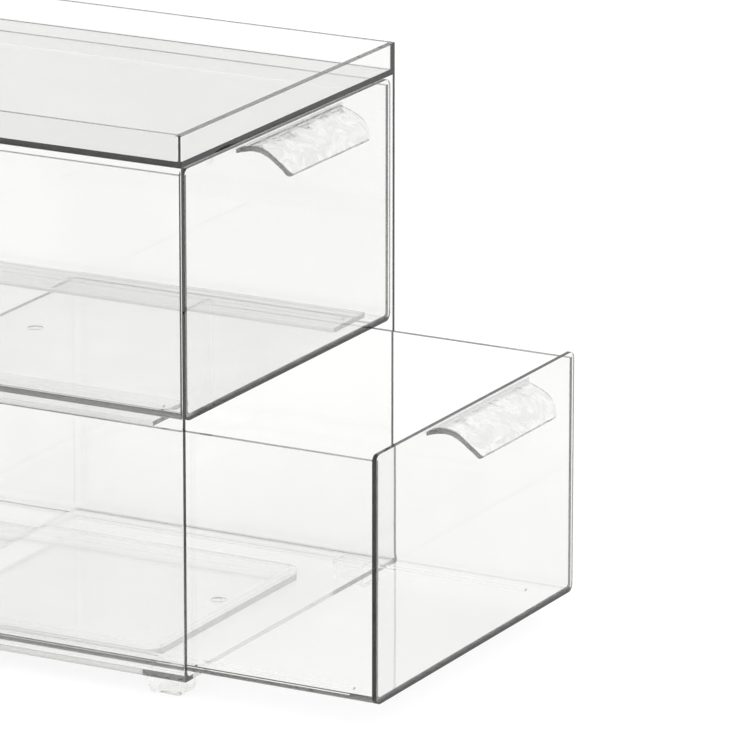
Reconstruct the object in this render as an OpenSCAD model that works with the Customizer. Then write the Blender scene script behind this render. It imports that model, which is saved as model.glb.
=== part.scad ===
// Stackable two-drawer box in clear plastic.
// An open-fronted casing on four cup feet carries two sliding drawers, one above the other.
// A recessed tray with an upstanding rim on top takes the feet of the next box in a stack.
// Millimetres. +X is right, the drawers pull out towards -Y, +Z is up and the feet stand on Z = 0.

/* [Casing] */
// Width over the side walls
case_w = 160; // [130:1:220]
// Depth from the open front to the back face
case_d = 220; // [180:1:300]
// Thickness of the side walls and the back wall
case_wall = 2; // [1.6:0.1:2.4]
// Thickness of the floor
floor_t = 1.8; // [1.6:0.1:2.4]
// Radius of the upright outer edges at the back
edge_r = 1.6; // [0.8:0.1:2.4]
// Radius of the upright outer edges at the open front
front_edge_r = 0.4; // [0.2:0.1:1]
// Radius of the lower outer edges at the sides and back
sole_r = 1; // [0.6:0.1:1.6]
// Radius of the fillet between the floor and each side wall
bay_keel_r = 2; // [1:0.5:2.5]

/* [Sunken floor panel] */
// How far the panel drops below the floor
pan_drop = 4; // [2:0.5:5]
// Thickness of the panel and its upright border
pan_t = 2; // [1.6:0.1:2.4]
// Distance of the panel's opening from each outer side face
pan_inset_x = 27; // [24:0.5:32]
// Distance of the panel's opening from the front and back faces
pan_inset_y = 27.5; // [24:0.5:40]
// Corner radius of the panel's opening
pan_r = 4; // [3:0.5:8]

/* [Top tray] */
// Thickness of the recessed top panel
tray_t = 2; // [1.6:0.1:3]
// Height of the stacking rim above the panel
rim_h = 10; // [8.5:0.5:14]
// Thickness of the stacking rim
rim_t = 2; // [1.6:0.1:3]

/* [Ledges] */
// Width of the ledge that carries the upper drawer at each side
ledge_w = 24; // [16:0.5:30]
// Thickness of the ledge
ledge_t = 1.8; // [1.6:0.1:3]
// Distance from the casing's open front to the ledge's end
ledge_setback = 13; // [6:0.5:20]

/* [Feet] */
// Height of the feet
foot_h = 7; // [6:0.5:8]
// Distance of a foot's outer faces from the casing's outer faces
foot_inset = 4.5; // [3:0.5:6]
// Length of a foot across the casing
foot_len_x = 13.5; // [12:0.5:18]
// Length of a foot along the casing
foot_len_y = 14.5; // [12:0.5:20]
// Wall thickness of the hollow foot
foot_wall = 1.5; // [1.2:0.1:2]

/* [Drawers] */
// Height of a drawer's front plate
front_h = 93.2; // [60:0.1:140]
// Thickness of the front plate
front_t = 1.8; // [1.5:0.1:3]
// Gap between the front plate and each side wall of the casing
front_gap = 1; // [0.6:0.1:2]
// Gap between the front plate and the floor or ledge line under it
front_foot_gap = 1; // [0.6:0.1:1.5]
// Radius of the plate's two upper corners
front_r_top = 2.5; // [1:0.5:5]
// Radius of the plate's two lower corners
front_r_low = 3; // [2:0.5:4]
// How far a closed drawer's front sits behind the casing's front edge
front_recess = 0.4; // [0:0.1:2]
// Length of the drawer from its front face to its back face
drawer_l = 214; // [170:1:290]
// Thickness of the tub's walls
tub_t = 2; // [1.5:0.1:2.5]
// Thickness of the tub's floor
tub_floor_t = 2.3; // [1.8:0.1:2.8]
// How far the tub's sides lie inside the front plate's edges
tub_side_in = 0.5; // [0.2:0.1:2]
// How far the tub's walls stop below the plate's upper edge
tub_top_in = 2.4; // [2:0.1:4]
// How far the tub's floor lies above the plate's lower edge
tub_low_in = 0; // [0:0.1:2]
// Radius of the tub's two rear upright corners
tub_r = 3; // [3:0.5:8]
// Radius of the tub's lower long edges
tub_keel_r = 2.5; // [1.5:0.1:3]

/* [Runner ribs] */
// Distance between the middle planes of a drawer's two ribs
rib_span = 131; // [125:0.5:140]
// Thickness of a rib
rib_t = 1.8; // [1.2:0.1:3]
// Distance from the front plate to a rib's front end
rib_front_in = 13; // [3:0.5:20]
// Distance from a rib's rear end to the tub's back face
rib_back_in = 6; // [5:0.5:15]
// Running gap under the ribs
rib_gap = 0.1; // [0.05:0.05:0.3]

/* [Moulding mark] */
// Diameter of the round gate mark under each tub floor
gate_d = 6; // [4:0.5:10]
// Depth of the gate mark's ring
gate_depth = 0.5; // [0.2:0.1:0.8]

/* [Pull tabs] */
// Width of the tab
pull_w = 67; // [50:1:90]
// How far the tab stands out in front of the plate
pull_out = 17.5; // [15:0.5:19]
// Radius of the tab's outer corners
pull_corner_r = 6.5; // [4:0.5:9]
// Radius of the flare where the tab's sides meet the plate
pull_flare_r = 6.5; // [3:0.5:8]
// Radius of the curve that the tab's upper face follows
pull_bend_r = 18; // [17:0.5:26]
// Thickness of the tab at the plate
pull_root_t = 2.4; // [1.8:0.1:3]
// Thickness of the tab at its lip
pull_lip_t = 1.6; // [1.2:0.1:2]
// How far the tab's upper face starts below the plate's upper edge
pull_low = 0.3; // [0.2:0.1:2]

/* [Positions] */
// How far the upper drawer is pulled out
upper_out = 0; // [0:1:150]
// How far the lower drawer is pulled out
lower_out = 77.5; // [0:0.5:150]

/* [Hidden] */
$fn = 64;
over = 1;                       // how far a cutting shape runs past what it cuts
clear_plastic = [0.90, 0.92, 0.92, 0.45];
clear_ledge = [0.80, 0.83, 0.84, 0.55];
clear_pull = [0.86, 0.88, 0.88, 0.6];

// heights above the casing's underside
plate_low = floor_t + front_foot_gap;
rib_h = front_foot_gap + tub_low_in - rib_gap;
ledge_gap = 1.1;                // free height between the lower tub's walls and the ledges
ledge_z = plate_low + front_h - tub_top_in + ledge_gap;
drawer_pitch = ledge_z + ledge_t - floor_t;
tray_gap = 1.2;                 // free height between the upper front plate and the tray
wall_h = plate_low + drawer_pitch + front_h + tray_gap;

// small radii and reliefs
bay_r = 1.5;                    // the casing's two inner rear upright corners
rim_r = 1;                      // the stacking rim's inner corners
ledge_nose_r = 1.5;             // the free front corner of a ledge
ledge_relief = 3.2;             // side of the square cut from a ledge's rear corner
foot_upright = 2;               // height of the upright part of a foot's far faces
foot_bow_r = 6;                 // the curve of a foot's far faces
foot_corner_r = 1.8;            // a foot's other upright edges
tub_inner_r = 1;                // least radius of the tub's inner rear corners

// drawer sizes
front_w = case_w - 2 * (case_wall + front_gap);
tub_w = front_w - 2 * tub_side_in;
tub_h = front_h - tub_top_in - tub_low_in;
tub_l = drawer_l - front_t;

// the origin lies under the middle of the whole, with the lower drawer pulled out
front_y = (pull_out + lower_out - front_recess - case_d) / 2;

// ---- shared outlines ----

// What a round corner leaves over: a square at the origin's first quadrant, less its round
module corner_waste(r) {
    difference() {
        translate([-over, -over]) square(r + over);
        translate([r, r]) circle(r);
    }
}

// Rectangle about the origin; radii run from the lower left corner anticlockwise
module rounded_rect(w, l, radii) {
    difference() {
        square([w, l], center = true);
        for (i = [0 : 3])
            if (radii[i] > 0)
                translate([(i == 0 || i == 3 ? -1 : 1) * w / 2, (i < 2 ? -1 : 1) * l / 2])
                    rotate(90 * i) corner_waste(radii[i]);
    }
}

// Extrudes an outline drawn in (x, z) through a length along Y, centred on y = 0
module along_y(length) {
    rotate([90, 0, 0]) linear_extrude(length, center = true) children();
}

// Extrudes an outline drawn in (y, z) through a length along X, centred on x = 0
module along_x(length) {
    rotate([90, 0, 90]) linear_extrude(length, center = true) children();
}

// ---- casing ----

// The block that the casing is hollowed from, with its upright and lower edges rounded
module casing_block() {
    intersection() {
        linear_extrude(wall_h)
            rounded_rect(case_w, case_d, [front_edge_r, front_edge_r, edge_r, edge_r]);
        translate([0, 0, wall_h / 2])
            along_y(case_d + 2 * over) rounded_rect(case_w, wall_h, [sole_r, sole_r, 0, 0]);
        translate([0, 0, wall_h / 2])
            along_x(case_w + 2 * over) rounded_rect(case_d, wall_h, [0, sole_r, 0, 0]);
    }
}

module casing() {
    pan_w = case_w - 2 * pan_inset_x;
    pan_l = case_d - 2 * pan_inset_y;
    inner_w = case_w - 2 * case_wall;
    bay_l = case_d - case_wall + over;
    pan_outer_r = pan_r + pan_t;
    color(clear_plastic)
    translate([0, front_y + case_d / 2, foot_h])
    difference() {
        union() {
            casing_block();
            translate([0, 0, -pan_drop])
                linear_extrude(pan_drop + floor_t / 2)
                    rounded_rect(pan_w + 2 * pan_t, pan_l + 2 * pan_t,
                                 [pan_outer_r, pan_outer_r, pan_outer_r, pan_outer_r]);
        }
        // the bay, open at the front and at the top
        translate([0, -case_d / 2 - over + bay_l / 2, floor_t])
        intersection() {
            linear_extrude(wall_h) rounded_rect(inner_w, bay_l, [0, 0, bay_r, bay_r]);
            translate([0, 0, wall_h])
                along_y(bay_l + 2 * over)
                    rounded_rect(inner_w, 2 * wall_h, [bay_keel_r, bay_keel_r, 0, 0]);
        }
        // the hollow of the sunken panel
        translate([0, 0, pan_t - pan_drop])
            linear_extrude(pan_drop + floor_t)
                rounded_rect(pan_w, pan_l, [pan_r, pan_r, pan_r, pan_r]);
    }
}

// ---- top tray with its stacking rim ----

module top_tray() {
    color(clear_plastic)
    translate([0, front_y + case_d / 2, foot_h + wall_h])
    difference() {
        linear_extrude(tray_t + rim_h)
            rounded_rect(case_w, case_d, [front_edge_r, front_edge_r, edge_r, edge_r]);
        translate([0, 0, tray_t])
            linear_extrude(rim_h + over)
                rounded_rect(case_w - 2 * rim_t, case_d - 2 * rim_t, [rim_r, rim_r, rim_r, rim_r]);
    }
}

// ---- ledges ----

// side is -1 for the left ledge and 1 for the right one
module ledge(side) {
    ledge_l = case_d - case_wall - ledge_setback;
    corner = side < 0 ? [0, ledge_nose_r, 0, 0] : [ledge_nose_r, 0, 0, 0];
    color(clear_ledge)
    translate([side * (case_w / 2 - case_wall - ledge_w / 2),
               front_y + ledge_setback + ledge_l / 2, foot_h + ledge_z])
    difference() {
        linear_extrude(ledge_t) rounded_rect(ledge_w, ledge_l, corner);
        // relief for the rear corner of the bay
        translate([side * ledge_w / 2, ledge_l / 2, -over])
            rotate(45) cube([ledge_relief, ledge_relief, 3 * ledge_t + over], center = true);
    }
}

module ledge_left() { ledge(-1); }
module ledge_right() { ledge(1); }

// ---- feet ----

// Side outline of a foot: upright outer face at 0, and a far end that curves in below bow_z
module foot_profile(len, bow_z, bow_r) {
    intersection() {
        square([len, foot_h]);
        union() {
            square([len - bow_r, foot_h]);
            translate([0, bow_z]) square([len, foot_h]);
            translate([len - bow_r, bow_z]) circle(bow_r);
        }
    }
}

// A foot's outer form, drawn smaller by wall for the hollow inside it
module foot_form(wall) {
    len_x = foot_len_x - 2 * wall;
    len_y = foot_len_y - 2 * wall;
    bow_r = foot_bow_r - wall;
    bow_z = foot_h - foot_upright - wall;
    corner_r = foot_corner_r - wall / 2;
    translate([wall, wall, wall])
    intersection() {
        translate([len_x / 2, len_y / 2, 0])
            linear_extrude(foot_h)
                rounded_rect(len_x, len_y, [corner_r, corner_r, bow_r, corner_r]);
        translate([0, len_y / 2, 0]) along_y(len_y + 2 * over) foot_profile(len_x, bow_z, bow_r);
        translate([len_x / 2, 0, 0]) along_x(len_x + 2 * over) foot_profile(len_y, bow_z, bow_r);
    }
}

// A hollow cup, open at the top, where the casing's floor closes it
module foot(side, end) {
    color(clear_plastic)
    translate([side * (case_w / 2 - foot_inset),
               front_y + case_d / 2 + end * (case_d / 2 - foot_inset), 0])
    mirror([side > 0 ? 1 : 0, 0, 0]) mirror([0, end > 0 ? 1 : 0, 0])
    difference() {
        foot_form(0);
        foot_form(foot_wall);
    }
}

module foot_front_left() { foot(-1, -1); }
module foot_front_right() { foot(1, -1); }
module foot_rear_left() { foot(-1, 1); }
module foot_rear_right() { foot(1, 1); }

// ---- drawers ----
// A drawer is drawn with the middle of its plate's lower front edge at the origin.

// Places a drawer's piece: level is 0 for the lower bay and 1 for the upper one
module in_bay(level, out) {
    translate([0, front_y + front_recess - out, foot_h + plate_low + level * drawer_pitch])
        children();
}

module drawer_front() {
    color(clear_plastic)
    translate([0, front_t / 2, front_h / 2])
        along_y(front_t)
            rounded_rect(front_w, front_h, [front_r_low, front_r_low, front_r_top, front_r_top]);
}

// The gate mark: a shallow ring round a flush middle
module gate_mark() {
    difference() {
        cylinder(d = gate_d, h = 2 * gate_depth, center = true);
        cylinder(d = gate_d / 2, h = 3 * gate_depth, center = true);
    }
}

// A rib under the tub's floor, rooted halfway up the floor's thickness
module drawer_rib(side) {
    rib_l = tub_l - rib_front_in - rib_back_in;
    translate([side * rib_span / 2 - rib_t / 2, front_t + rib_front_in, tub_low_in - rib_h])
        cube([rib_t, rib_l, rib_h + tub_floor_t / 2]);
}

// An open tub whose side walls and floor end at the front plate
module drawer_tub() {
    inner_r = max(tub_r - tub_t, tub_inner_r);
    keel_in = tub_keel_r - tub_t / 2;
    color(clear_plastic) {
        difference() {
            translate([0, front_t + tub_l / 2, tub_low_in])
            intersection() {
                linear_extrude(tub_h) rounded_rect(tub_w, tub_l, [0, 0, tub_r, tub_r]);
                translate([0, 0, tub_h / 2])
                    along_y(tub_l + 2 * over)
                        rounded_rect(tub_w, tub_h, [tub_keel_r, tub_keel_r, 0, 0]);
            }
            translate([0, front_t + (tub_l - tub_t) / 2, tub_low_in + tub_floor_t])
            intersection() {
                translate([0, -over / 2, 0])
                    linear_extrude(tub_h)
                        rounded_rect(tub_w - 2 * tub_t, tub_l - tub_t + over, [0, 0, inner_r, inner_r]);
                translate([0, 0, tub_h])
                    along_y(tub_l + 2 * over)
                        rounded_rect(tub_w - 2 * tub_t, 2 * tub_h, [keel_in, keel_in, 0, 0]);
            }
            translate([0, front_t + tub_l / 2, tub_low_in]) gate_mark();
        }
        drawer_rib(-1);
        drawer_rib(1);
    }
}

// Plan of the tab, drawn in (x, distance in front of the plate), just clear of the lip's round
module pull_plan() {
    flare_w = pull_w + 2 * pull_flare_r;
    flare_l = pull_flare_r + 0.4;                   // the flare's tip stays 0.4 mm long
    plan_l = pull_out + 0.2;
    translate([0, plan_l / 2])
        rounded_rect(pull_w, plan_l, [0, 0, pull_corner_r, pull_corner_r]);
    difference() {
        translate([-flare_w / 2, 0]) square([flare_w, flare_l]);
        for (side = [-1, 1])
            translate([side * flare_w / 2, flare_l]) circle(pull_flare_r);
    }
}

// Section of the tab, drawn in (distance in front of the plate, height below its upper face):
// two arcs about different centres, so that the sheet thins towards its rounded lip
module pull_section() {
    start = 1.3;                                    // where the upper arc is level
    lip_r = pull_bend_r - pull_lip_t / 2;
    end_a = asin((pull_out - pull_lip_t / 2 - start) / lip_r);
    under_r = pull_bend_r - (pull_root_t + pull_lip_t) / 2;
    thin = (pull_root_t - pull_lip_t) / 2;
    shift = thin * (1 + cos(end_a)) / sin(end_a);
    far = 2 * pull_bend_r;
    intersection() {
        difference() {
            translate([start, -pull_bend_r]) circle(pull_bend_r);
            translate([start + shift, -pull_bend_r - thin]) circle(under_r);
        }
        polygon([[0, -pull_bend_r], [0, far], [far, far],
                 [start + far * sin(end_a), -pull_bend_r + far * cos(end_a)],
                 [start, -pull_bend_r]]);
    }
    translate([start + lip_r * sin(end_a), -pull_bend_r + lip_r * cos(end_a)])
        circle(pull_lip_t / 2);
}

module drawer_pull() {
    color(clear_pull)
    translate([0, 0, front_h - pull_low])
    mirror([0, 1, 0])
    intersection() {
        translate([0, 0, -pull_bend_r]) linear_extrude(2 * pull_bend_r) pull_plan();
        along_x(pull_w + 2 * pull_flare_r + over) pull_section();
    }
}

module upper_tub() { in_bay(1, upper_out) drawer_tub(); }
module upper_front() { in_bay(1, upper_out) drawer_front(); }
module upper_pull() { in_bay(1, upper_out) drawer_pull(); }
module lower_tub() { in_bay(0, lower_out) drawer_tub(); }
module lower_front() { in_bay(0, lower_out) drawer_front(); }
module lower_pull() { in_bay(0, lower_out) drawer_pull(); }

casing();
top_tray();
ledge_left();
ledge_right();
foot_front_left();
foot_front_right();
foot_rear_left();
foot_rear_right();
upper_tub();
upper_front();
upper_pull();
lower_tub();
lower_front();
lower_pull();
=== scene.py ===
import math

import bmesh
import bpy
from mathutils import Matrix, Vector

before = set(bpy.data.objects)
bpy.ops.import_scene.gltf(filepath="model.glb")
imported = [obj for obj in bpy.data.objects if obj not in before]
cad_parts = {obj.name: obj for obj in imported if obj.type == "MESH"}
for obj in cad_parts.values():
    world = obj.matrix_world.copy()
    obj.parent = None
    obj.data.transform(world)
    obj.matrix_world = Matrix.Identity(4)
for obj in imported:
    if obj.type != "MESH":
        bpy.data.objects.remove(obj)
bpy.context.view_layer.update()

bl_info = {
    "name": "Clear Drawer Box",
    "version": (1, 0, 0),
    "blender": (4, 5, 0),
    "location": "View3D > Sidebar > Drawer Box",
    "description": "Finishes the pieces of a clear plastic drawer box and sets up its studio",
    "category": "Object",
}

WHITE = (1, 1, 1, 1)

# Moulded edges; lengths in metres
HAIR = 0.00001          # how far each face draws back, so that bonded faces don't coincide
WELD_REACH = 0.000005   # corners of the loose triangles that are nearer than this are joined
SHARP = math.radians(35)            # edges that turn more than this are eased
EASE_SEGMENTS = 3
FACE_WEIGHT = 80        # how strongly the large faces hold the shading flat

# Noise patterns: scale, detail and distortion
WALL_WAVES = (28, 1, 0)
WALL_CLOUDS = (16, 3, 0)
PULL_WAVES = (75, 1, 1.5)
# pattern of the painted highlight streaks in the pull tabs
PULL_HIGHLIGHT_NOISE = (90, 2, 3)
CLOUD_FADE = (0.35, 0.65)           # noise values between which the clouds set in
PULL_HIGHLIGHT_FADE = (0.49, 0.56)

# Places in metres between which a painted shade, a darker tint, sets in
RIM_EDGE = {"Z": (0.2102, 0.2106), "Y": (-0.0604, -0.0608)}
FRONT_EDGE = (0.0014, 0.0012)       # up from the lower edge of a front plate
PULL_ROOT = (0.0042, 0.0034)        # out from the face of the front plate
PULL_SIDE = (0.0007, 0.0005)        # in from the side of a tab

# The uneven surface of a pull tab
SOFTEN = 0.5
SOFTEN_TIMES = 20
WAVE_LEVEL = 0.85       # a pattern value below this presses the surface in

# Studio
BOUNCES = {"max_bounces": 96, "glossy_bounces": 64,
           "transmission_bounces": 40, "transparent_max_bounces": 40}
SENSOR = 36             # millimetres
FAR = 200               # metres
FLOOR_SIDES = 64
FLOOR_ROUGHNESS = 0.9
WALL_DIRECTION = (0.844, 0.458, 0.278)      # towards the middle of the grey wall
WALL_FADE = (0.75, 0.96)            # nearness to that direction, from white to grey
WALL_TOP = (0.265, 0.298)           # height of a direction, from grey back to white


# ---- settings ----

class PlasticSettings(bpy.types.PropertyGroup):
    """Tints, absorption and surface of the clear plastic"""
    shell_tint: bpy.props.FloatVectorProperty(
        name="Shell tint", description="Colour that one wall of the casing lets through",
        subtype="COLOR", size=3, min=0, max=1, default=(0.98, 0.98, 0.976))
    tray_tint: bpy.props.FloatVectorProperty(
        name="Tray tint", description="Colour that one wall of the tray lets through",
        subtype="COLOR", size=3, min=0, max=1, default=(0.99, 0.99, 0.985))
    drawer_tint: bpy.props.FloatVectorProperty(
        name="Drawer tint",
        description="Colour that one wall of a drawer's tub, or of a foot, lets through",
        subtype="COLOR", size=3, min=0, max=1, default=(0.995, 0.995, 0.99))
    front_tint: bpy.props.FloatVectorProperty(
        name="Front tint", description="Colour that a drawer's front plate lets through",
        subtype="COLOR", size=3, min=0, max=1, default=(0.968, 0.968, 0.963))
    ledge_tint: bpy.props.FloatVectorProperty(
        name="Ledge tint", description="Colour that a ledge lets through",
        subtype="COLOR", size=3, min=0, max=1, default=(0.90, 0.90, 0.895))
    # Pull tint: the tab's colour between the painted highlight streaks, kept darker so that
    # they stand out
    pull_tint: bpy.props.FloatVectorProperty(
        name="Pull tint", description="Colour that a pull tab lets through between its veins",
        subtype="COLOR", size=3, min=0, max=1, default=(0.88, 0.88, 0.873))
    refraction: bpy.props.FloatProperty(
        name="Refraction", description="Index of refraction of the clear plastic",
        min=1.3, max=1.7, default=1.5)
    tray_absorption: bpy.props.FloatProperty(
        name="Tray absorption",
        description="How fast the tray darkens light that runs along it",
        min=0, max=60, default=20.0)
    shell_absorption: bpy.props.FloatProperty(
        name="Shell absorption",
        description="How fast the casing darkens light that runs along it",
        min=0, max=60, default=10.0)
    foot_absorption: bpy.props.FloatProperty(
        name="Foot absorption",
        description="How fast a foot darkens light that runs along it",
        min=0, max=60, default=3.0)
    drawer_absorption: bpy.props.FloatProperty(
        name="Drawer absorption",
        description="How fast a drawer's tub darkens light that runs along it",
        min=0, max=60, default=9.0)
    front_absorption: bpy.props.FloatProperty(
        name="Front absorption",
        description="How fast a drawer's front plate darkens light that runs along it",
        min=0, max=60, default=26.0)
    pull_absorption: bpy.props.FloatProperty(
        name="Pull absorption",
        description="How fast a pull tab darkens light that runs along it",
        min=0, max=60, default=15.0)
    ledge_absorption: bpy.props.FloatProperty(
        name="Ledge absorption",
        description="How fast a ledge darkens light that runs along it",
        min=0, max=60, default=6.0)
    absorbed: bpy.props.FloatVectorProperty(
        name="Absorption colour", description="Colour that long paths in the plastic turn to",
        subtype="COLOR", size=3, min=0, max=1, default=(0.10, 0.10, 0.08))
    cloudiness: bpy.props.FloatProperty(
        name="Cloudiness", description="How much the tint differs from place to place",
        min=0, max=0.2, default=0.016)
    # Painted shade: a dark tint along the lower edge of each front plate, standing in for the
    # dark line that refraction makes there
    front_edge_painted_shade: bpy.props.FloatVectorProperty(
        name="Front edge tint",
        description="Colour that the lower edge of a front plate lets through",
        subtype="COLOR", size=3, min=0, max=1, default=(0.10, 0.10, 0.10))
    # Painted shade: a dark tint along the rim's top edge at the front, standing in for the
    # dark line that refraction makes there
    rim_painted_shade: bpy.props.FloatVectorProperty(
        name="Rim edge tint",
        description="Colour that the top edge of the rim lets through, at the front",
        subtype="COLOR", size=3, min=0, max=1, default=(0.12, 0.12, 0.118))
    waviness: bpy.props.FloatProperty(
        name="Waviness",
        description="Height of the slow waves in the shading of the moulded faces",
        unit="LENGTH", min=0, max=0.001, default=0.00004)
    pull_waviness: bpy.props.FloatProperty(
        name="Pull waviness", description="Height of the fine waves in a pull tab's shading",
        unit="LENGTH", min=0, max=0.002, default=0.00003)
    edge_round: bpy.props.FloatProperty(
        name="Edge rounding", description="Radius that the moulded edges are eased with",
        unit="LENGTH", min=0, max=0.001, default=0.0002)
    tray_round: bpy.props.FloatProperty(
        name="Tray rounding", description="Radius that the tray's edges are eased with",
        unit="LENGTH", min=0, max=0.001, default=0.0006)
    # Painted highlight: lighter streaks tinted into a pull tab, standing in for the bright
    # lines its uneven surface refracts
    pull_painted_highlight: bpy.props.FloatVectorProperty(
        name="Pull vein tint", description="Colour of the lighter veins in a pull tab",
        subtype="COLOR", size=3, min=0, max=1, default=(1.0, 1.0, 0.995))
    # Painted shade: a darker tint at the root of a pull tab, where it meets the front plate
    pull_root_painted_shade: bpy.props.FloatVectorProperty(
        name="Pull root tint",
        description="Colour that the thick root of a pull tab lets through",
        subtype="COLOR", size=3, min=0, max=1, default=(0.70, 0.70, 0.695))
    # Painted shade: a dark tint along the side edges of a pull tab, standing in for their
    # dark refracted outline
    pull_edge_painted_shade: bpy.props.FloatVectorProperty(
        name="Pull edge tint",
        description="Colour that the side edges of a pull tab let through",
        subtype="COLOR", size=3, min=0, max=1, default=(0.20, 0.20, 0.198))
    pull_grain: bpy.props.FloatProperty(
        name="Pull grain",
        description="Size of the facets that a pull tab's uneven surface is made of",
        unit="LENGTH", min=0.0002, max=0.002, default=0.0004)
    pull_wave_size: bpy.props.FloatProperty(
        name="Pull wave size",
        description="Distance between the uneven places in a pull tab's surface",
        unit="LENGTH", min=0.001, max=0.05, default=0.007)
    pull_wave_height: bpy.props.FloatProperty(
        name="Pull wave height",
        description="Depth of the uneven places in a pull tab's surface",
        unit="LENGTH", min=0, max=0.001, default=0.00018)


class StudioSettings(bpy.types.PropertyGroup):
    """Camera, floor and light"""
    azimuth: bpy.props.FloatProperty(
        name="Azimuth", description="Angle of the camera round the box, from the front",
        subtype="ANGLE", default=math.radians(-61.51))
    elevation: bpy.props.FloatProperty(
        name="Elevation", description="Angle of the camera above the floor",
        subtype="ANGLE", default=math.radians(16.14))
    distance: bpy.props.FloatProperty(
        name="Distance", description="Distance from the camera to the point it looks at",
        unit="LENGTH", min=0.5, default=2.694)
    aim: bpy.props.FloatVectorProperty(
        name="Aim", description="Point that the camera looks at",
        subtype="TRANSLATION", size=3, default=(-0.0207, -0.10585, 0.1164))
    lens: bpy.props.FloatProperty(
        name="Lens", description="Focal length in millimetres on a 36 mm wide sensor",
        min=20, default=365.06)
    sky: bpy.props.FloatProperty(
        name="Sky", description="Brightness of the white studio all round",
        min=0, default=1.12)
    wall_shade: bpy.props.FloatProperty(
        name="Wall shade",
        description="Brightness of the grey wall behind the box, on the right",
        min=0, default=0.75)
    floor_colour: bpy.props.FloatVectorProperty(
        name="Floor colour", description="Colour of the pale floor",
        subtype="COLOR", size=3, min=0, max=1, default=(0.20, 0.20, 0.20))
    floor_glow: bpy.props.FloatProperty(
        name="Floor glow",
        description="Light that the floor gives off by itself, as on a lit table",
        min=0, max=1, default=0.87)
    floor_size: bpy.props.FloatProperty(
        name="Floor size", description="Radius of the round floor",
        unit="LENGTH", min=2, default=40.0)


# ---- materials ----

def new_material(name):
    """A material with an empty node tree and its output node."""
    mat = bpy.data.materials.new(name)
    mat.use_nodes = True
    mat.node_tree.nodes.clear()
    out = mat.node_tree.nodes.new("ShaderNodeOutputMaterial")
    return mat, mat.node_tree, out


def shift(tree, value, low, high, start=0, end=1):
    """A number carried smoothly from one range to another."""
    node = tree.nodes.new("ShaderNodeMapRange")
    node.interpolation_type = "SMOOTHSTEP"
    for key, number in (("From Min", low), ("From Max", high),
                        ("To Min", start), ("To Max", end)):
        node.inputs[key].default_value = number
    tree.links.new(value, node.inputs["Value"])
    return node.outputs["Result"]


def noise(tree, place, scale, detail, distortion):
    """Soft noise on the piece's own coordinates."""
    node = tree.nodes.new("ShaderNodeTexNoise")
    for key, value in (("Scale", scale), ("Detail", detail), ("Distortion", distortion)):
        node.inputs[key].default_value = value
    tree.links.new(place.outputs["Object"], node.inputs["Vector"])
    return node.outputs["Fac"]


def math_node(tree, operation, *sockets):
    """The result of one sum on other nodes' outputs."""
    node = tree.nodes.new("ShaderNodeMath")
    node.operation = operation
    for number, socket in enumerate(sockets):
        tree.links.new(socket, node.inputs[number])
    return node.outputs["Value"]


def blend(tree, factor, first, second):
    """A colour between two: each is a colour or another node's output."""
    node = tree.nodes.new("ShaderNodeMix")
    node.data_type = "RGBA"
    tree.links.new(factor, node.inputs["Factor"])
    for socket, colour in (("A", first), ("B", second)):
        if isinstance(colour, bpy.types.NodeSocket):
            tree.links.new(colour, node.inputs[socket])
        else:
            node.inputs[socket].default_value = (*colour, 1)
    return node.outputs["Result"]


def clear_plastic(name, tint, absorption, settings, waves=WALL_WAVES, height=None,
                  clouds=WALL_CLOUDS, cloud_and_highlight_tint=None, fade=CLOUD_FADE, zones=()):
    """Polished clear plastic: refracts, tints what is behind it and mirrors at a slant.

    A zone is a painted shade, a darker tint, and for one or more axes the two places between
    which it sets in. The second tint is random cloudy tone on the walls and painted highlight
    streaks on the pull tabs.
    X counts outwards from the middle of the box."""
    mat, tree, out = new_material(name)
    shader = tree.nodes.new("ShaderNodeBsdfPrincipled")
    shader.inputs["Roughness"].default_value = 0.0
    shader.inputs["IOR"].default_value = settings.refraction
    shader.inputs["Transmission Weight"].default_value = 1.0
    tree.links.new(shader.outputs["BSDF"], out.inputs["Surface"])
    place = tree.nodes.new("ShaderNodeTexCoord")
    bump = tree.nodes.new("ShaderNodeBump")
    bump.inputs["Strength"].default_value = 1
    bump.inputs["Distance"].default_value = settings.waviness if height is None else height
    tree.links.new(noise(tree, place, *waves), bump.inputs["Height"])
    tree.links.new(bump.outputs["Normal"], shader.inputs["Normal"])
    # Cloudy tone that differs at random; on the pull tabs this blend paints lighter streaks,
    # a painted highlight.
    if cloud_and_highlight_tint is None:
        cloud_and_highlight_tint = [part * (1 - settings.cloudiness) for part in tint]
    cloud_and_highlight_mask = shift(tree, noise(tree, place, *clouds), *fade)
    colour = blend(tree, cloud_and_highlight_mask, tint, cloud_and_highlight_tint)
    if zones:
        spot = tree.nodes.new("ShaderNodeSeparateXYZ")
        tree.links.new(place.outputs["Object"], spot.inputs["Vector"])
        places = {axis: spot.outputs[axis] for axis in "YZ"}
        places["X"] = math_node(tree, "ABSOLUTE", spot.outputs["X"])
    # Painted shade: each zone darkens the tint along an edge.
    for painted_shade_tint, fades in zones:
        inside = None
        for axis, (start, end) in fades.items():
            part = shift(tree, places[axis], start, end)
            inside = math_node(tree, "MULTIPLY", inside, part) if inside else part
        colour = blend(tree, inside, colour, painted_shade_tint)
    tree.links.new(colour, shader.inputs["Base Color"])
    dark = tree.nodes.new("ShaderNodeVolumeAbsorption")
    dark.inputs["Color"].default_value = (*settings.absorbed, 1)
    dark.inputs["Density"].default_value = absorption
    tree.links.new(dark.outputs["Volume"], out.inputs["Volume"])
    return mat


def give(obj, mat):
    """The material fills every slot of the object."""
    obj.data.materials.clear()
    obj.data.materials.append(mat)


# ---- shapes ----

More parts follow.
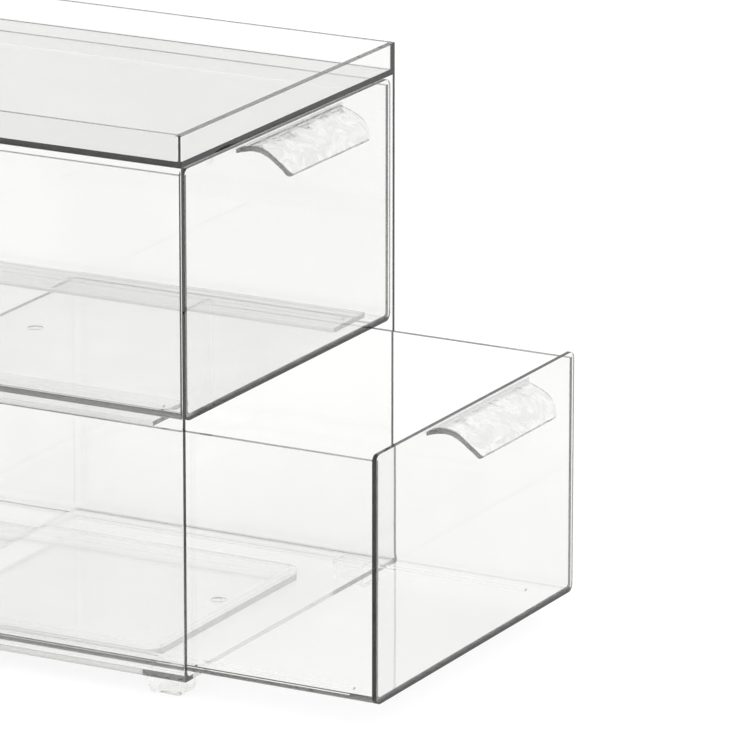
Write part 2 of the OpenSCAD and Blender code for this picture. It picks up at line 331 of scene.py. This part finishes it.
def cast_waves(obj, settings):
    """The uneven, softly rounded surface of a thick moulded tab."""
    skin = obj.modifiers.new("skin", "REMESH")
    skin.mode = "VOXEL"
    skin.voxel_size = settings.pull_grain
    skin.use_smooth_shade = True
    soft = obj.modifiers.new("soft", "SMOOTH")
    soft.factor = SOFTEN
    soft.iterations = SOFTEN_TIMES
    cloud = bpy.data.textures.new(obj.name + "_waves", "CLOUDS")
    cloud.noise_scale = settings.pull_wave_size
    cloud.noise_depth = 1
    waves = obj.modifiers.new("waves", "DISPLACE")
    waves.texture = cloud
    waves.texture_coords = "LOCAL"
    waves.mid_level = WAVE_LEVEL
    waves.strength = settings.pull_wave_height


def ease_edges(obj, radius):
    """Rounds the sharp edges as a mould leaves them, and keeps bonded faces a hair apart."""
    weld = obj.modifiers.new("weld", "WELD")
    weld.merge_threshold = WELD_REACH
    hair = obj.modifiers.new("hair", "DISPLACE")
    hair.mid_level = 0
    hair.strength = -HAIR
    bevel = obj.modifiers.new("ease", "BEVEL")
    bevel.width = radius
    bevel.segments = EASE_SEGMENTS
    bevel.limit_method = "ANGLE"
    bevel.angle_limit = SHARP
    bevel.harden_normals = True
    flat = obj.modifiers.new("flat", "WEIGHTED_NORMAL")
    flat.mode = "FACE_AREA_WITH_ANGLE"
    flat.weight = FACE_WEIGHT


def finish(names, mat, settings, radius=None):
    """Eases the edges of the pieces and gives them their plastic."""
    for name in names:
        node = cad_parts[name]
        ease_edges(node, radius or settings.edge_round)
        give(node, mat)


# ---- operators ----

class BOX_OT_casing(bpy.types.Operator):
    """The open-fronted casing with its sunken floor panel"""
    bl_idname = "drawer_box.casing"
    bl_label = "Casing"

    def execute(self, context):
        settings = context.scene.box_plastic
        mat = clear_plastic("clear_shell", settings.shell_tint, settings.shell_absorption,
                            settings)
        finish(["casing"], mat, settings)
        return {"FINISHED"}


class BOX_OT_feet(bpy.types.Operator):
    """The four cup feet under the casing"""
    bl_idname = "drawer_box.feet"
    bl_label = "Feet"

    def execute(self, context):
        settings = context.scene.box_plastic
        mat = clear_plastic("clear_foot", settings.drawer_tint, settings.foot_absorption,
                            settings)
        finish([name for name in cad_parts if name.startswith("foot_")], mat, settings)
        return {"FINISHED"}


class BOX_OT_tray(bpy.types.Operator):
    """The top tray with its upstanding rim, whose top edge at the front is darkened by
    painted shade
    """
    bl_idname = "drawer_box.tray"
    bl_label = "Top Tray"

    def execute(self, context):
        settings = context.scene.box_plastic
        # Painted shade darkens the rim's top edge at the front.
        mat = clear_plastic("clear_tray", settings.tray_tint, settings.tray_absorption,
                            settings, zones=[(settings.rim_painted_shade, RIM_EDGE)])
        finish(["top_tray"], mat, settings, settings.tray_round)
        return {"FINISHED"}


class BOX_OT_ledges(bpy.types.Operator):
    """The two ledge strips that carry the upper drawer"""
    bl_idname = "drawer_box.ledges"
    bl_label = "Ledges"

    def execute(self, context):
        settings = context.scene.box_plastic
        mat = clear_plastic("clear_ledge", settings.ledge_tint, settings.ledge_absorption,
                            settings)
        finish(["ledge_left", "ledge_right"], mat, settings)
        return {"FINISHED"}


class BOX_OT_tubs(bpy.types.Operator):
    """The tubs of the two drawers, with their runner ribs"""
    bl_idname = "drawer_box.tubs"
    bl_label = "Drawer Tubs"

    def execute(self, context):
        settings = context.scene.box_plastic
        mat = clear_plastic("clear_drawer", settings.drawer_tint,
                            settings.drawer_absorption, settings)
        finish(["upper_tub", "lower_tub"], mat, settings)
        return {"FINISHED"}


class BOX_OT_fronts(bpy.types.Operator):
    """The front plates of the two drawers, with painted shade darkening their lower edges"""
    bl_idname = "drawer_box.fronts"
    bl_label = "Drawer Fronts"

    def execute(self, context):
        settings = context.scene.box_plastic
        for name in ("upper_front", "lower_front"):
            bottom = min(vertex.co.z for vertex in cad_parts[name].data.vertices)
            # Painted shade along the lower edge of the plate.
            edge = {"Z": [bottom + height for height in FRONT_EDGE]}
            mat = clear_plastic("clear_" + name, settings.front_tint,
                                settings.front_absorption, settings,
                                zones=[(settings.front_edge_painted_shade, edge)])
            finish([name], mat, settings)
        return {"FINISHED"}


class BOX_OT_pulls(bpy.types.Operator):
    """The curved pull tabs, with the uneven surface of thick moulded plastic, painted
    highlight streaks, and painted shade at the root and along the side edges
    """
    bl_idname = "drawer_box.pulls"
    bl_label = "Pull Tabs"

    def execute(self, context):
        settings = context.scene.box_plastic
        for name in ("upper_pull", "lower_pull"):
            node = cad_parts[name]
            back = max(vertex.co.y for vertex in node.data.vertices)
            side = max(vertex.co.x for vertex in node.data.vertices)
            # Painted shade at the root and along the side edges; the lighter tint paints
            # highlight streaks.
            zones = [(settings.pull_root_painted_shade, {"Y": [back - depth for depth in PULL_ROOT]}),
                     (settings.pull_edge_painted_shade, {"X": [side - depth for depth in PULL_SIDE]})]
            cast_waves(node, settings)
            give(node, clear_plastic("clear_" + name, settings.pull_tint,
                                     settings.pull_absorption, settings,
                                     PULL_WAVES, settings.pull_waviness,
                                     PULL_HIGHLIGHT_NOISE, settings.pull_painted_highlight, PULL_HIGHLIGHT_FADE, zones))
        return {"FINISHED"}


class BOX_OT_studio(bpy.types.Operator):
    """The camera, the pale floor and the soft white light"""
    bl_idname = "drawer_box.studio"
    bl_label = "Studio"

    def execute(self, context):
        settings = context.scene.box_studio
        scene = context.scene
        scene.view_settings.view_transform = "Standard"
        for key, number in BOUNCES.items():         # a ray passes up to ten clear walls
            setattr(scene.cycles, key, number)
        self.camera(scene, settings)
        self.floor(settings)
        self.sky(scene, settings)
        return {"FINISHED"}

    def camera(self, scene, settings):
        """Stands the camera where the photograph was taken from."""
        back = Vector((math.sin(settings.azimuth) * math.cos(settings.elevation),
                       -math.cos(settings.azimuth) * math.cos(settings.elevation),
                       math.sin(settings.elevation)))
        data = bpy.data.cameras.new("camera")
        data.lens = settings.lens
        data.sensor_width = SENSOR
        data.clip_end = FAR
        camera = bpy.data.objects.new("camera", data)
        camera.location = Vector(settings.aim) + back * settings.distance
        camera.rotation_euler = (-back).to_track_quat("-Z", "Y").to_euler()
        scene.collection.objects.link(camera)
        scene.camera = camera

    def floor(self, settings):
        """A wide round floor that the feet stand on."""
        mesh = bpy.data.meshes.new("floor")
        bm = bmesh.new()
        bmesh.ops.create_circle(bm, cap_ends=True, segments=FLOOR_SIDES,
                                radius=settings.floor_size)
        bm.to_mesh(mesh)
        bm.free()
        floor = bpy.data.objects.new("floor", mesh)
        bpy.context.scene.collection.objects.link(floor)
        mat, tree, out = new_material("floor_paint")
        shader = tree.nodes.new("ShaderNodeBsdfPrincipled")
        shader.inputs["Base Color"].default_value = (*settings.floor_colour, 1)
        shader.inputs["Roughness"].default_value = FLOOR_ROUGHNESS
        shader.inputs["Specular IOR Level"].default_value = 0.0
        shader.inputs["Emission Color"].default_value = WHITE
        shader.inputs["Emission Strength"].default_value = settings.floor_glow
        tree.links.new(shader.outputs["BSDF"], out.inputs["Surface"])
        give(floor, mat)

    def sky(self, scene, settings):
        """White light from all round, with a soft grey wall low down behind the box."""
        world = bpy.data.worlds.new("studio_light")
        world.use_nodes = True
        tree = world.node_tree
        tree.nodes.clear()
        out = tree.nodes.new("ShaderNodeOutputWorld")
        light = tree.nodes.new("ShaderNodeBackground")
        light.inputs["Color"].default_value = WHITE
        tree.links.new(light.outputs["Background"], out.inputs["Surface"])
        place = tree.nodes.new("ShaderNodeTexCoord")
        towards = tree.nodes.new("ShaderNodeVectorMath")
        towards.operation = "DOT_PRODUCT"
        towards.inputs[1].default_value = WALL_DIRECTION
        tree.links.new(place.outputs["Generated"], towards.inputs[0])
        wall = shift(tree, towards.outputs["Value"], *WALL_FADE,
                     settings.sky, settings.wall_shade)
        height = tree.nodes.new("ShaderNodeSeparateXYZ")
        tree.links.new(place.outputs["Generated"], height.inputs["Vector"])
        above = shift(tree, height.outputs["Z"], *WALL_TOP)
        ceiling = tree.nodes.new("ShaderNodeMix")
        tree.links.new(above, ceiling.inputs["Factor"])
        tree.links.new(wall, ceiling.inputs["A"])
        ceiling.inputs["B"].default_value = settings.sky
        tree.links.new(ceiling.outputs["Result"], light.inputs["Strength"])
        scene.world = world


# ---- panel and registration ----

class BOX_PT_panel(bpy.types.Panel):
    """Lists the settings and the steps that finish the box"""
    bl_idname = "BOX_PT_panel"
    bl_label = "Drawer Box"
    bl_space_type = "VIEW_3D"
    bl_region_type = "UI"
    bl_category = "Drawer Box"

    def draw(self, context):
        for group in (context.scene.box_plastic, context.scene.box_studio):
            for key in group.__annotations__:
                self.layout.prop(group, key)
        for step in STEPS:
            self.layout.operator(step.bl_idname)


STEPS = (BOX_OT_casing, BOX_OT_feet, BOX_OT_tray, BOX_OT_ledges, BOX_OT_tubs,
         BOX_OT_fronts, BOX_OT_pulls, BOX_OT_studio)
CLASSES = (PlasticSettings, StudioSettings, *STEPS, BOX_PT_panel)


def register():
    """Makes the classes and their settings known to Blender."""
    for cls in CLASSES:
        bpy.utils.register_class(cls)
    bpy.types.Scene.box_plastic = bpy.props.PointerProperty(type=PlasticSettings)
    bpy.types.Scene.box_studio = bpy.props.PointerProperty(type=StudioSettings)


def unregister():
    """Takes them away again, in reverse order."""
    del bpy.types.Scene.box_studio
    del bpy.types.Scene.box_plastic
    for cls in reversed(CLASSES):
        bpy.utils.unregister_class(cls)


def main():
    """Runs every step."""
    register()
    for step in STEPS:
        group, name = step.bl_idname.split(".")
        getattr(getattr(bpy.ops, group), name)()


if __name__ == "__main__":
    main()
